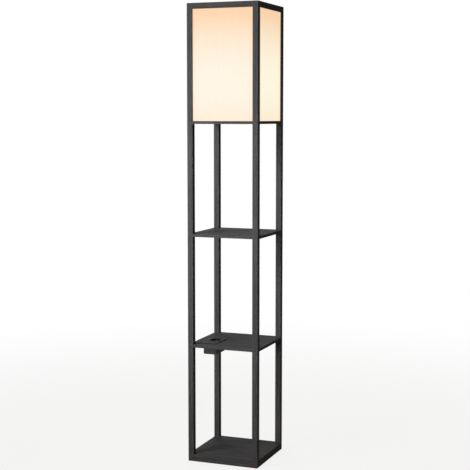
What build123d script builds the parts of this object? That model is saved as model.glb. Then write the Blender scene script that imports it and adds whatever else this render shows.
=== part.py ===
from build123d import *
import os
from math import asin, degrees, sqrt

# Shelf floor lamp, in millimetres. Origin: centre of the footprint, on the floor.
# +X runs to the right along the front, +Y to the back, +Z up.

# ---------------------------------------------------------------- driving dimensions

# Frame
frame_width = 260.0  # over the outer faces of the posts, left to right
frame_depth = 260.0  # front to back
post_section = 20.0  # side of the square posts and height of the top rails
post_edge_radius = 0.8
board_thickness = 10.0  # both shelves and the shade board
board_edge_radius = 0.4
base_thickness = 25.0
base_edge_radius = 0.8
lower_bay = 383.5  # clear height between the base board and the lower shelf
shelf_bay = 380.0  # clear height of each of the two bays above it
shade_height = 380.0  # clear height between the shade board and the top rails

# Foot pads
pad_radius = 12.0
pad_thickness = 3.0
pad_recess = 1.5  # how deep the pads sit in the base board
pad_inset = 42.0  # from the base board's edges to a pad's centre

# Studs, inserts and bolts that hold the segments together
stud_radius = 3.0
stud_reach = 20.0  # how far a stud stands out of a board, each way
insert_radius = 5.0
insert_length = 15.0
tip_bore_depth = 26.0  # depth of the post bores, past the inserts
fit_gap = 0.1  # radial gap of a threaded or pressed fit
stud_hole_gap = 0.3  # radial gap of a board's corner hole
thread_chamfer = 0.6
bolt_head_radius = 6.0
bolt_head_height = 4.0
bolt_pocket_radius = 7.0
bolt_pocket_depth = 8.0
hex_key_radius = 2.3
hex_key_depth = 2.5

# Dowels between the top rails and the posts
dowel_radius = 3.0
dowel_length = 20.0
dowel_stagger = 4.0  # front and back dowels stand this much higher, side dowels lower

# Shade
panel_thickness = 1.2  # fabric laminated on a translucent sheet
panel_recess = 5.0  # from the posts' outer faces to the fabric
groove_gap = 0.2  # at each face of a panel
groove_depth = 4.0  # in the posts and the top rails
groove_end_gap = 0.5  # between a panel's edge and the bottom of that groove
board_groove_depth = 3.0  # in the shade board, where the panels stand

# Lamp holder, on the middle of the shade board
holder_radius = 19.0
holder_foot_radius = 13.0
holder_wall = 2.0
holder_floor = 4.0
holder_base_height = 18.0
holder_sleeve_height = 32.0
holder_mouth_radius = 18.0
holder_lip_radius = 0.5
core_level = 10.0  # underside of the terminal core, above the shade board
core_height = 6.0
core_gap = 0.2
terminal_radius = 2.5
terminal_height = 1.6
terminal_spacing = 14.0
contact_spring_width = 6.0
contact_spring_length = 16.0
contact_spring_height = 2.0
contact_spring_thickness = 0.5
thread_shell_radius = 14.6
thread_shell_wall = 0.8
thread_shell_height = 28.0
thread_shell_flange = 2.8
nipple_radius = 5.0
nipple_bore = 3.5
nut_radius = 8.0  # over the corners
nut_height = 4.0
nut_sink = 0.5  # how deep the lower nut and the nipple's end lie in the shade board
nut_pocket_gap = 1.5  # round the lower nut's corners

# Bulb, heights counted from the tip of its contact
globe_radius = 30.0
globe_centre = 78.0
globe_wall = 1.4
dome_base = 66.0  # where the opal dome meets the white body
neck_radius = 13.6
neck_level = 30.0
body_wall = 1.6
cap_crest_radius = 13.1
cap_root_radius = 12.2
cap_bottom = 4.0
cap_height = 23.0
cap_wall = 0.8
cap_collar = 4.0  # plain stretch above the thread
body_skirt = 12.0  # how far the body reaches into the cap
thread_pitch = 3.6
thread_turns = 4
tip_radius = 4.5
tip_height = 1.5
insulator_tuck = 2.0  # how far the insulator reaches into the cap
led_board_thickness = 1.6
led_board_gap = 0.8
led_size = 3.0
led_height = 0.8
led_count = 8
led_ring_radius = 15.0

# Charging module, on the left of the lower shelf
module_side_margin = 32.5  # from the shelf's left edge to the faceplate
module_front_margin = 36.0  # from the shelf's front edge to the faceplate
faceplate_side_lip = 6.0  # how far the faceplate reaches past the housing's sides
faceplate_thickness = 2.5
faceplate_corner_radius = 5.0
faceplate_edge_radius = 0.8
housing_drop = 30.0  # how far the housing hangs below the shelf
housing_wall = 2.0
housing_corner_radius = 3.0
housing_bottom_radius = 1.5
cutout_gap = 0.5
ear_width = 18.0
ear_margin = 5.0  # from a screw's axis to the end of its ear
ear_thickness = 2.0
screw_radius = 1.6
screw_head_radius = 3.3
screw_length = 10.0
screw_offset = 6.0  # from the housing's front and back ends to a screw's axis
screw_edge_margin = 6.0  # from a screw's axis to the faceplate's edge
screw_gap = 0.15
driver_slot_width = 0.9
driver_slot_length = 3.6
driver_slot_depth = 1.1

# Socket in the module
socket_side_gap = 1.1  # between the socket cup and the housing's side walls
socket_back_gap = 9.6  # between the socket cup and the housing's back end
socket_radius = 19.8
socket_depth = 17.5
socket_wall = 1.6
socket_floor = 2.5
socket_rim_width = 3.2  # from the recess outwards
socket_rim_height = 1.0
socket_rim_round = 0.4
socket_hole_gap = 0.3
guide_rib_width = 5.2
guide_rib_reach = 3.6
guide_rib_drop = 2.0  # below the faceplate's top
pin_spacing = 19.0
pin_hole_radius = 2.8
pin_tube_radius = 3.5
pin_tube_bore = 2.4
pin_tube_length = 14.0
earth_width = 6.0
earth_thickness = 0.8
earth_height = 14.0  # above the socket's floor
earth_inset = 1.6  # from the socket's wall to the strip's middle
earth_bulge = 2.3
earth_bend_radius = 1.5
earth_fold_radius = 0.6  # where the strip turns under the socket's floor
earth_slot_gap = 0.6

# USB ports in the module
usb_front_margin = 8.0  # from the housing's front end to the ports' middle
usb_socket_margin = 19.6  # from the ports' middle to the socket cup
usb_a_offset = -9.0  # from the module's centre line
usb_a_width = 13.0
usb_a_height = 5.6
usb_c_offset = 12.0
usb_c_width = 9.0
usb_c_height = 3.2
usb_depth = 14.0
usb_sink = 0.3  # how far the shells stay below the faceplate's top
usb_wall = 0.35
usb_gap = 0.2
usb_a_tongue_width = 10.6
usb_a_tongue_thickness = 1.8
usb_a_tongue_shift = 1.2
usb_c_tongue_width = 6.6
usb_c_tongue_thickness = 0.7
usb_tongue_length = 11.5

# Charger board under the USB ports
charger_front_gap = 0.5  # between the board and the housing's front wall
charger_side_gap = 1.5  # between the board and the housing's side walls
charger_length = 19.0
charger_thickness = 1.6
pillar_radius = 2.2
pillar_inset = 3.0
transformer_width = 14.0
transformer_length = 12.0
transformer_height = 10.0
capacitor_radius = 3.5
capacitor_height = 12.0
capacitor_offset = 12.5

# Cable gland in the module's back wall
gland_level = 10.0  # above the housing's bottom
gland_radius = 6.0
gland_bore = 3.5
gland_flange_radius = 7.5
gland_flange = 1.5
gland_nose_radius = 5.0
gland_nose = 6.0

# ---------------------------------------------------------------- levels and places

base_bottom = pad_thickness - pad_recess
base_top = base_bottom + base_thickness
lower_shelf_bottom = base_top + lower_bay
lower_shelf_top = lower_shelf_bottom + board_thickness
upper_shelf_bottom = lower_shelf_top + shelf_bay
upper_shelf_top = upper_shelf_bottom + board_thickness
shade_board_bottom = upper_shelf_top + shelf_bay
shade_board_top = shade_board_bottom + board_thickness
rail_bottom = shade_board_top + shade_height
frame_top = rail_bottom + post_section

post_x = frame_width / 2 - post_section / 2
post_y = frame_depth / 2 - post_section / 2
corners = {
    "front_left": (-1, -1),
    "front_right": (1, -1),
    "back_right": (1, 1),
    "back_left": (-1, 1),
}

# Each side's plane looks outwards: x along the side, y up, z out of the lamp.
side_planes = {
    "front": Plane((0, 0, 0), x_dir=(1, 0, 0), z_dir=(0, -1, 0)),
    "right": Plane((0, 0, 0), x_dir=(0, 1, 0), z_dir=(1, 0, 0)),
    "back": Plane((0, 0, 0), x_dir=(-1, 0, 0), z_dir=(0, 1, 0)),
    "left": Plane((0, 0, 0), x_dir=(0, -1, 0), z_dir=(-1, 0, 0)),
}
side_reach = {
    "front": frame_depth / 2,
    "back": frame_depth / 2,
    "left": frame_width / 2,
    "right": frame_width / 2,
}
side_span = {
    "front": frame_width - 2 * post_section,
    "back": frame_width - 2 * post_section,
    "left": frame_depth - 2 * post_section,
    "right": frame_depth - 2 * post_section,
}
rail_middle = rail_bottom + post_section / 2
dowel_level = {
    "front": rail_middle + dowel_stagger,
    "back": rail_middle + dowel_stagger,
    "left": rail_middle - dowel_stagger,
    "right": rail_middle - dowel_stagger,
}

groove_width = panel_thickness + 2 * groove_gap
groove_top = rail_bottom + groove_depth
panel_middle_inset = panel_recess + panel_thickness / 2  # from an outer face to a panel's middle

socket_outer_radius = socket_radius + socket_wall
socket_rim_radius = socket_radius + socket_rim_width
housing_width = 2 * (socket_outer_radius + socket_side_gap + housing_wall)
housing_length = usb_front_margin + usb_socket_margin + 2 * socket_outer_radius + socket_back_gap
screw_place = housing_length / 2 + screw_offset
ear_span = 2 * (screw_place + ear_margin)
faceplate_width = housing_width + 2 * faceplate_side_lip
faceplate_length = 2 * (screw_place + screw_edge_margin)
module_x = -frame_width / 2 + module_side_margin + faceplate_width / 2
module_y = -frame_depth / 2 + module_front_margin + faceplate_length / 2
faceplate_top = lower_shelf_top + faceplate_thickness
housing_bottom = lower_shelf_bottom - housing_drop
socket_floor_top = faceplate_top - socket_depth
usb_top = faceplate_top - usb_sink
charger_top = usb_top - usb_depth

holder_seat = shade_board_top
nipple_hole = nipple_radius + fit_gap
nipple_end = shade_board_bottom + nut_sink
core_bottom = holder_seat + core_level
core_top = core_bottom + core_height
bulb_seat = core_top + contact_spring_height
bulb_dome_radius = sqrt(globe_radius**2 - (globe_centre - dome_base) ** 2)  # where body and dome meet

os.makedirs("parts", exist_ok=True)


def save(piece, name):
    """Label a finished piece and write it as its own file."""
    piece.part.label = name
    export_step(piece.part, f"parts/{name}.step")


def facing_down(x, y, z):
    """A plane at a point that looks down, for holes bored from below."""
    return Plane((x, y, z), x_dir=(1, 0, 0), z_dir=(0, 0, -1))


def profile_plane(x, y, z):
    """A plane for turned profiles: x is the radius, y the height above the given level."""
    return Plane((x, y, z), x_dir=(1, 0, 0), z_dir=(0, -1, 0))


def four_corners():
    """The axes of the four posts."""
    return GridLocations(2 * post_x, 2 * post_y, 2, 2)


def four_pads():
    """The centres of the four foot pads."""
    return GridLocations(frame_width - 2 * pad_inset, frame_depth - 2 * pad_inset, 2, 2)


# ---------------------------------------------------------------- base board and pads

with BuildPart() as base_board:
    with BuildSketch(Plane.XY.offset(base_bottom)):
        RectangleRounded(frame_width, frame_depth, post_edge_radius)
    extrude(amount=base_thickness)
    fillet(base_board.edges().group_by(Axis.Z)[0], base_edge_radius)
    fillet(base_board.edges().group_by(Axis.Z)[-1], board_edge_radius)
    with Locations(facing_down(0, 0, base_bottom)):
        with four_corners():
            CounterBoreHole(stud_radius + stud_hole_gap, bolt_pocket_radius, bolt_pocket_depth)
        with four_pads():
            Hole(pad_radius + fit_gap, pad_recess)
save(base_board, "base_board")

with BuildPart() as foot_pads:
    with BuildSketch():
        with four_pads():
            Circle(pad_radius)
    extrude(amount=pad_thickness)
    chamfer(foot_pads.edges().group_by(Axis.Z)[0], thread_chamfer)
save(foot_pads, "foot_pads")


# ---------------------------------------------------------------- shelves and shade board


def make_board(bottom):
    """A full-size board with its four corner holes, which the studs pass through."""
    with BuildPart() as board:
        with BuildSketch(Plane.XY.offset(bottom)):
            RectangleRounded(frame_width, frame_depth, post_edge_radius)
        extrude(amount=board_thickness)
        rims = board.edges().group_by(Axis.Z)
        fillet(rims[0] + rims[-1], board_edge_radius)
        with Locations((0, 0, bottom + board_thickness)):
            with four_corners():
                Hole(stud_radius + stud_hole_gap, board_thickness)
    return board


upper_shelf = make_board(upper_shelf_bottom)
save(upper_shelf, "upper_shelf")

plain_lower_shelf = make_board(lower_shelf_bottom)
with BuildPart() as lower_shelf:
    add(plain_lower_shelf.part)
    with BuildSketch(Plane((module_x, module_y, lower_shelf_top))):
        RectangleRounded(
            housing_width + 2 * cutout_gap,
            housing_length + 2 * cutout_gap,
            housing_corner_radius + cutout_gap,
        )
    extrude(amount=-board_thickness, mode=Mode.SUBTRACT)
    with BuildSketch(Plane((module_x, module_y, lower_shelf_top))):
        Rectangle(ear_width + 2 * cutout_gap, ear_span + 2 * cutout_gap)
    extrude(amount=-ear_thickness, mode=Mode.SUBTRACT)
    with Locations((module_x, module_y, lower_shelf_top)):
        with GridLocations(0, 2 * screw_place, 1, 2):
            Hole(screw_radius + screw_gap, screw_length - faceplate_thickness + cutout_gap)
save(lower_shelf, "lower_shelf")

plain_shade_board = make_board(shade_board_bottom)
with BuildPart() as shade_board:
    add(plain_shade_board.part)
    with BuildSketch(Plane.XY.offset(shade_board_top)):
        with GridLocations(0, frame_depth - 2 * panel_middle_inset, 1, 2):
            Rectangle(side_span["front"] + 2 * groove_depth, groove_width)
        with GridLocations(frame_width - 2 * panel_middle_inset, 0, 2, 1):
            Rectangle(groove_width, side_span["left"] + 2 * groove_depth)
    extrude(amount=-board_groove_depth, mode=Mode.SUBTRACT)
    with Locations(facing_down(0, 0, shade_board_bottom)):
        CounterBoreHole(nipple_hole, nut_radius + nut_pocket_gap, nut_sink + nut_height, board_thickness)
save(shade_board, "shade_board")


# ---------------------------------------------------------------- posts


def make_post(corner, bottom, length):
    """One post segment, with a stepped bore at its foot for an insert and a stud's end."""
    x_side, y_side = corners[corner]
    x, y = x_side * post_x, y_side * post_y
    with BuildPart() as post:
        with BuildSketch(Plane((x, y, bottom))):
            RectangleRounded(post_section, post_section, post_edge_radius)
        extrude(amount=length)
        with Locations(facing_down(x, y, bottom)):
            CounterBoreHole(stud_radius + fit_gap, insert_radius + fit_gap, insert_length, tip_bore_depth)
    return post


def make_carrying_post(corner, bottom, length):
    """A segment with a board above it, so it is bored at its top too."""
    x_side, y_side = corners[corner]
    blank = make_post(corner, bottom, length)
    with BuildPart() as post:
        add(blank.part)
        with Locations((x_side * post_x, y_side * post_y, bottom + length)):
            CounterBoreHole(stud_radius + fit_gap, insert_radius + fit_gap, insert_length, tip_bore_depth)
    return post


def make_top_post(corner):
    """The top segment: grooved for two panels and bored for the dowels of two rails."""
    x_side, y_side = corners[corner]
    inner_x = x_side * (frame_width / 2 - post_section)
    inner_y = y_side * (frame_depth / 2 - post_section)
    panel_x = x_side * (frame_width / 2 - panel_middle_inset)
    panel_y = y_side * (frame_depth / 2 - panel_middle_inset)
    blank = make_post(corner, shade_board_top, frame_top - shade_board_top)
    with BuildPart() as post:
        add(blank.part)
        with BuildSketch(Plane.XY.offset(shade_board_top)):
            with Locations((inner_x + x_side * groove_depth / 2, panel_y)):
                Rectangle(groove_depth, groove_width)
            with Locations((panel_x, inner_y + y_side * groove_depth / 2)):
                Rectangle(groove_width, groove_depth)
        extrude(amount=groove_top - shade_board_top, mode=Mode.SUBTRACT)
        with Locations(Plane((inner_x, y_side * post_y, dowel_level["front"]), z_dir=(-x_side, 0, 0))):
            Hole(dowel_radius + fit_gap, dowel_length / 2)
        with Locations(Plane((x_side * post_x, inner_y, dowel_level["left"]), z_dir=(0, -y_side, 0))):
            Hole(dowel_radius + fit_gap, dowel_length / 2)
    return post


carrying_tiers = (
    (1, base_top, lower_bay),
    (2, lower_shelf_top, shelf_bay),
    (3, upper_shelf_top, shelf_bay),
)
for corner in corners:
    for tier, tier_bottom, tier_length in carrying_tiers:
        save(make_carrying_post(corner, tier_bottom, tier_length), f"{corner}_post_{tier}")
    save(make_top_post(corner), f"{corner}_post_4")


# ---------------------------------------------------------------- studs, inserts and bolts

insert_levels = [shade_board_top]
for tier, tier_bottom, tier_length in carrying_tiers:
    insert_levels += [tier_bottom, tier_bottom + tier_length - insert_length]

with BuildPart() as post_inserts:
    for level in insert_levels:
        with BuildSketch(Plane.XY.offset(level)):
            with four_corners():
                Circle(insert_radius)
                Circle(stud_radius + fit_gap, mode=Mode.SUBTRACT)
        extrude(amount=insert_length)
save(post_inserts, "post_inserts")

with BuildPart() as connecting_studs:
    for level in (lower_shelf_bottom, upper_shelf_bottom, shade_board_bottom):
        with BuildSketch(Plane.XY.offset(level - stud_reach)):
            with four_corners():
                Circle(stud_radius)
        extrude(amount=board_thickness + 2 * stud_reach)
    chamfer(connecting_studs.edges().filter_by(GeomType.CIRCLE), thread_chamfer)
save(connecting_studs, "connecting_studs")

bolt_seat = base_bottom + bolt_pocket_depth
with BuildPart() as base_bolts:
    with BuildSketch(Plane.XY.offset(bolt_seat)):
        with four_corners():
            Circle(stud_radius)
    extrude(amount=base_top + stud_reach - bolt_seat)
    chamfer(base_bolts.edges().group_by(Axis.Z)[-1], thread_chamfer)
    with BuildSketch(Plane.XY.offset(bolt_seat - bolt_head_height)):
        with four_corners():
            Circle(bolt_head_radius)
    extrude(amount=bolt_head_height)
    with BuildSketch(Plane.XY.offset(bolt_seat - bolt_head_height)):
        with four_corners():
            RegularPolygon(hex_key_radius, 6)
    extrude(amount=hex_key_depth, mode=Mode.SUBTRACT)
save(base_bolts, "base_bolts")


# ---------------------------------------------------------------- top rails and their dowels


def dowel_seam(side, end):
    """Where a dowel crosses from a rail into a post, at one end of a side."""
    along = end * side_span[side] / 2
    return side_planes[side].from_local_coords(
        Vector(along, dowel_level[side], side_reach[side] - post_section / 2)
    )


def make_top_rail(side):
    """One rail between two posts, grooved underneath for its panel and bored for two dowels."""
    face, span = side_planes[side].offset(side_reach[side]), side_span[side]
    with BuildPart() as rail:
        with BuildSketch(face):
            with Locations((0, rail_middle)):
                Rectangle(span, post_section)
        extrude(amount=-post_section)
        fillet(rail.edges().filter_by(Axis((0, 0, 0), face.x_dir)), post_edge_radius)
        with BuildSketch(face.offset(-panel_recess + groove_gap)):
            with Locations((0, rail_bottom + groove_depth / 2)):
                Rectangle(span, groove_depth)
        extrude(amount=-groove_width, mode=Mode.SUBTRACT)
        for end in (-1, 1):
            with Locations(Plane(dowel_seam(side, end), z_dir=face.x_dir * end)):
                Hole(dowel_radius + fit_gap, dowel_length / 2)
    return rail


for side in side_planes:
    save(make_top_rail(side), f"{side}_top_rail")

with BuildPart() as rail_dowels:
    for side, side_plane in side_planes.items():
        for end in (-1, 1):
            with BuildSketch(Plane(dowel_seam(side, end), z_dir=side_plane.x_dir)):
                Circle(dowel_radius)
            extrude(amount=dowel_length / 2, both=True)
save(rail_dowels, "rail_dowels")


# ---------------------------------------------------------------- shade panels

panel_bottom = shade_board_top - board_groove_depth
panel_top = groove_top - groove_end_gap
for side, side_plane in side_planes.items():
    with BuildPart() as shade_panel:
        with BuildSketch(side_plane.offset(side_reach[side] - panel_recess)):
            with Locations((0, (panel_bottom + panel_top) / 2)):
                Rectangle(side_span[side] + 2 * (groove_depth - groove_end_gap), panel_top - panel_bottom)
        extrude(amount=-panel_thickness)
    save(shade_panel, f"{side}_shade_panel")


# ---------------------------------------------------------------- lamp holder

core_radius = holder_radius - holder_wall - core_gap

with BuildPart() as holder_base:
    with BuildSketch(profile_plane(0, 0, holder_seat)):
        with BuildLine():
            Polyline(
                (nipple_hole, 0),
                (holder_foot_radius, 0),
                (holder_radius, core_level),
                (holder_radius, holder_base_height),
                (holder_radius - holder_wall, holder_base_height),
                (holder_radius - holder_wall, core_level),
                (holder_foot_radius, core_level),
                (holder_foot_radius - holder_wall, holder_floor),
                (nipple_hole, holder_floor),
                close=True,
            )
        make_face()
    revolve(axis=Axis.Z)
save(holder_base, "holder_base")

with BuildPart() as holder_core:
    with BuildSketch(Plane.XY.offset(core_bottom)):
        Circle(core_radius)
    extrude(amount=core_height)
save(holder_core, "holder_core")

with BuildPart() as holder_sleeve:
    with BuildSketch(profile_plane(0, 0, holder_seat + holder_base_height)):
        with BuildLine():
            Polyline(
                (holder_radius - holder_wall, 0),
                (holder_radius, 0),
                (holder_mouth_radius, holder_sleeve_height),
                (thread_shell_radius + core_gap, holder_sleeve_height),
                (thread_shell_radius + core_gap, holder_sleeve_height - holder_wall),
                (holder_mouth_radius - holder_wall, holder_sleeve_height - holder_wall),
                close=True,
            )
        make_face()
    revolve(axis=Axis.Z)
    fillet(holder_sleeve.edges().group_by(Axis.Z)[-1], holder_lip_radius)
save(holder_sleeve, "holder_sleeve")

thread_shell_inner = thread_shell_radius - thread_shell_wall
with BuildPart() as holder_thread_shell:
    with BuildSketch(profile_plane(0, 0, core_top)):
        with BuildLine():
            Polyline(
                (thread_shell_inner - thread_shell_flange, 0),
                (thread_shell_radius, 0),
                (thread_shell_radius, thread_shell_height),
                (thread_shell_inner, thread_shell_height),
                (thread_shell_inner, thread_shell_wall),
                (thread_shell_inner - thread_shell_flange, thread_shell_wall),
                close=True,
            )
        make_face()
    revolve(axis=Axis.Z)
save(holder_thread_shell, "holder_thread_shell")

spring_rise = contact_spring_height - contact_spring_thickness
with BuildPart() as holder_contact_spring:
    with BuildSketch(profile_plane(0, 0, core_top)):
        with BuildLine():
            Polyline(
                (-contact_spring_length / 2, 0),
                (-contact_spring_length / 4, 0),
                (-spring_rise, spring_rise),
                (contact_spring_length / 4, spring_rise),
                (contact_spring_length / 4, contact_spring_height),
                (-spring_rise, contact_spring_height),
                (-contact_spring_length / 4, contact_spring_thickness),
                (-contact_spring_length / 2, contact_spring_thickness),
                close=True,
            )
        make_face()
    extrude(amount=contact_spring_width / 2, both=True)
save(holder_contact_spring, "holder_contact_spring")

with BuildPart() as holder_terminals:
    with BuildSketch(Plane.XY.offset(core_bottom - terminal_height)):
        with GridLocations(terminal_spacing, 0, 2, 1):
            Circle(terminal_radius)
    extrude(amount=terminal_height)
save(holder_terminals, "holder_terminals")

with BuildPart() as holder_nipple:
    with BuildSketch(Plane.XY.offset(nipple_end)):
        Circle(nipple_radius)
        Circle(nipple_bore, mode=Mode.SUBTRACT)
    extrude(amount=holder_seat + holder_floor + nut_height - nipple_end)
save(holder_nipple, "holder_nipple")

with BuildPart() as nipple_nuts:
    for level in (nipple_end, holder_seat + holder_floor):
        with BuildSketch(Plane.XY.offset(level)):
            RegularPolygon(nut_radius, 6)
            Circle(nipple_hole, mode=Mode.SUBTRACT)
        extrude(amount=nut_height)
save(nipple_nuts, "nipple_nuts")


# ---------------------------------------------------------------- bulb

cap_top = cap_bottom + cap_height
cap_bore = cap_root_radius - cap_wall
thread_start = cap_top - cap_collar - thread_turns * thread_pitch

with BuildPart() as bulb_contact:
    with BuildSketch(Plane.XY.offset(bulb_seat)):
        Circle(tip_radius)
    extrude(amount=tip_height)
    fillet(bulb_contact.edges().group_by(Axis.Z)[0], tip_height / 2)
save(bulb_contact, "bulb_contact")

with BuildPart() as bulb_insulator:
    with BuildSketch(profile_plane(0, 0, bulb_seat)):
        with BuildLine():
            Polyline(
                (0, tip_height),
                (tip_radius, tip_height),
                (cap_bore, cap_bottom),
                (cap_bore, cap_bottom + insulator_tuck),
                (0, cap_bottom + insulator_tuck),
                close=True,
            )
        make_face()
    revolve(axis=Axis.Z)
save(bulb_insulator, "bulb_insulator")

with BuildPart() as bulb_cap:
    with BuildSketch(profile_plane(0, 0, bulb_seat)):
        with BuildLine():
            Line((cap_bore, cap_bottom), (cap_root_radius, cap_bottom))
            Line((cap_root_radius, cap_bottom), (cap_root_radius, thread_start))
            for turn in range(thread_turns):
                root = thread_start + turn * thread_pitch
                ThreePointArc(
                    (cap_root_radius, root),
                    (cap_crest_radius, root + thread_pitch / 2),
                    (cap_root_radius, root + thread_pitch),
                )
            Line((cap_root_radius, cap_top - cap_collar), (cap_root_radius, cap_top))
            Line((cap_root_radius, cap_top), (cap_bore, cap_top))
            Line((cap_bore, cap_top), (cap_bore, cap_bottom))
        make_face()
    revolve(axis=Axis.Z)
save(bulb_cap, "bulb_cap")

globe_tangent = (globe_centre - dome_base, bulb_dome_radius)  # along the globe's outline, at the seam
with BuildPart() as bulb_body:
    with BuildSketch(profile_plane(0, 0, bulb_seat)):
        with BuildLine():
            Line((cap_bore - body_wall, cap_top - body_skirt), (cap_bore, cap_top - body_skirt))
            Line((cap_bore, cap_top - body_skirt), (cap_bore, cap_top))
            Line((cap_bore, cap_top), (neck_radius, cap_top))
            Line((neck_radius, cap_top), (neck_radius, neck_level))
            Spline(
                (neck_radius, neck_level),
                (bulb_dome_radius, dome_base),
                tangents=[(0, 1), globe_tangent],
            )
            Line((bulb_dome_radius, dome_base), (bulb_dome_radius - body_wall, dome_base))
            Spline(
                (bulb_dome_radius - body_wall, dome_base),
                (neck_radius - body_wall, neck_level),
                tangents=[(-globe_tangent[0], -globe_tangent[1]), (0, -1)],
            )
            Line((neck_radius - body_wall, neck_level), (cap_bore - body_wall, cap_top))
            Line((cap_bore - body_wall, cap_top), (cap_bore - body_wall, cap_top - body_skirt))
        make_face()
    revolve(axis=Axis.Z)
save(bulb_body, "bulb_body")

with BuildPart() as led_board:
    with BuildSketch(Plane.XY.offset(bulb_seat + dome_base - led_board_thickness)):
        Circle(bulb_dome_radius - body_wall - led_board_gap)
    extrude(amount=led_board_thickness)
    with BuildSketch(Plane.XY.offset(bulb_seat + dome_base)):
        with PolarLocations(led_ring_radius, led_count):
            Rectangle(led_size, led_size)
    extrude(amount=led_height)
save(led_board, "led_board")

seam_angle = degrees(asin((dome_base - globe_centre) / globe_radius))
dome_inner_radius = globe_radius - globe_wall
inner_angle = degrees(asin((dome_base - globe_centre) / dome_inner_radius))
with BuildPart() as bulb_dome:
    with BuildSketch(profile_plane(0, 0, bulb_seat)):
        with BuildLine():
            outer_arc = CenterArc((0, globe_centre), globe_radius, seam_angle, 90 - seam_angle)
            inner_arc = CenterArc((0, globe_centre), dome_inner_radius, inner_angle, 90 - inner_angle)
            Line(outer_arc @ 1, inner_arc @ 1)
            Line(outer_arc @ 0, inner_arc @ 0)
        make_face()
    revolve(axis=Axis.Z)
save(bulb_dome, "bulb_dome")


# ---------------------------------------------------------------- charging module: shells

front_wall_y = module_y - housing_length / 2
back_wall_y = module_y + housing_length / 2
usb_y = front_wall_y + usb_front_margin
usb_a_x = module_x + usb_a_offset
usb_c_x = module_x + usb_c_offset
socket_y = back_wall_y - socket_back_gap - socket_outer_radius
socket_bore = socket_outer_radius + socket_hole_gap
gland_z = housing_bottom + gland_level
charger_width = housing_width - 2 * (housing_wall + charger_side_gap)
charger_y = front_wall_y + housing_wall + charger_front_gap + charger_length / 2

with BuildPart() as faceplate:
    with BuildSketch(Plane((module_x, module_y, lower_shelf_top))):
        RectangleRounded(faceplate_width, faceplate_length, faceplate_corner_radius)
    extrude(amount=faceplate_thickness)
    fillet(faceplate.edges().group_by(Axis.Z)[-1], faceplate_edge_radius)
    with BuildSketch(Plane.XY.offset(faceplate_top)):
        with Locations((module_x, socket_y)):
            Circle(socket_bore)
        with Locations((usb_a_x, usb_y)):
            Rectangle(usb_a_width + 2 * usb_gap, usb_a_height + 2 * usb_gap)
        with Locations((usb_c_x, usb_y)):
            SlotOverall(usb_c_width + 2 * usb_gap, usb_c_height + 2 * usb_gap)
    extrude(amount=-faceplate_thickness, mode=Mode.SUBTRACT)
    with Locations((module_x, module_y, faceplate_top)):
        with GridLocations(0, 2 * screw_place, 1, 2):
            CounterSinkHole(
                screw_radius + screw_gap,
                screw_head_radius + screw_gap,
                counter_sink_angle=90,
            )
save(faceplate, "faceplate")

with BuildPart() as module_housing:
    with BuildSketch(Plane((module_x, module_y, housing_bottom))):
        RectangleRounded(housing_width, housing_length, housing_corner_radius)
    extrude(amount=lower_shelf_top - housing_bottom)
    fillet(module_housing.edges().group_by(Axis.Z)[0], housing_bottom_radius)
    with BuildSketch(Plane((module_x, module_y, lower_shelf_top - ear_thickness))):
        Rectangle(ear_width, ear_span)
    extrude(amount=ear_thickness)
    with BuildSketch(Plane((module_x, module_y, housing_bottom + housing_wall))):
        Rectangle(housing_width - 2 * housing_wall, housing_length - 2 * housing_wall)
    extrude(amount=lower_shelf_top - housing_bottom - housing_wall, mode=Mode.SUBTRACT)
    with BuildSketch(Plane((module_x, charger_y, housing_bottom + housing_wall))):
        with GridLocations(charger_width - 2 * pillar_inset, charger_length - 2 * pillar_inset, 2, 2):
            Circle(pillar_radius)
    extrude(amount=charger_top - charger_thickness - housing_bottom - housing_wall)
    with Locations((module_x, module_y, lower_shelf_top)):
        with GridLocations(0, 2 * screw_place, 1, 2):
            Hole(screw_radius + screw_gap, ear_thickness)
    with Locations(Plane((module_x, back_wall_y, gland_z), z_dir=(0, 1, 0))):
        Hole(gland_radius + fit_gap, housing_wall)
save(module_housing, "module_housing")

with BuildPart() as module_screws:
    with Locations((module_x, module_y, faceplate_top)):
        with GridLocations(0, 2 * screw_place, 1, 2):
            Cylinder(screw_radius, screw_length, align=(Align.CENTER, Align.CENTER, Align.MAX))
            Cone(
                screw_radius,
                screw_head_radius,
                screw_head_radius - screw_radius,
                align=(Align.CENTER, Align.CENTER, Align.MAX),
            )
            Box(
                driver_slot_length,
                driver_slot_width,
                2 * driver_slot_depth,
                mode=Mode.SUBTRACT,
            )
            Box(
                driver_slot_width,
                driver_slot_length,
                2 * driver_slot_depth,
                mode=Mode.SUBTRACT,
            )
save(module_screws, "module_screws")

with BuildPart() as cable_gland:
    with BuildSketch(Plane((module_x, back_wall_y, gland_z))):
        with BuildLine():
            Polyline(
                (gland_bore, -housing_wall - gland_flange),
                (gland_flange_radius, -housing_wall - gland_flange),
                (gland_flange_radius, -housing_wall),
                (gland_radius, -housing_wall),
                (gland_radius, 0),
                (gland_flange_radius, 0),
                (gland_flange_radius, gland_flange),
                (gland_nose_radius, gland_flange + gland_nose),
                (gland_bore, gland_flange + gland_nose),
                close=True,
            )
        make_face()
    revolve(axis=Axis((module_x, back_wall_y, gland_z), (0, 1, 0)))
save(cable_gland, "cable_gland")


# ---------------------------------------------------------------- charging module: socket

socket_floor_bottom = socket_floor_top - socket_floor
socket_axis = Axis((module_x, socket_y, 0), (0, 0, 1))
earth_reach = socket_radius - earth_inset

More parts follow.
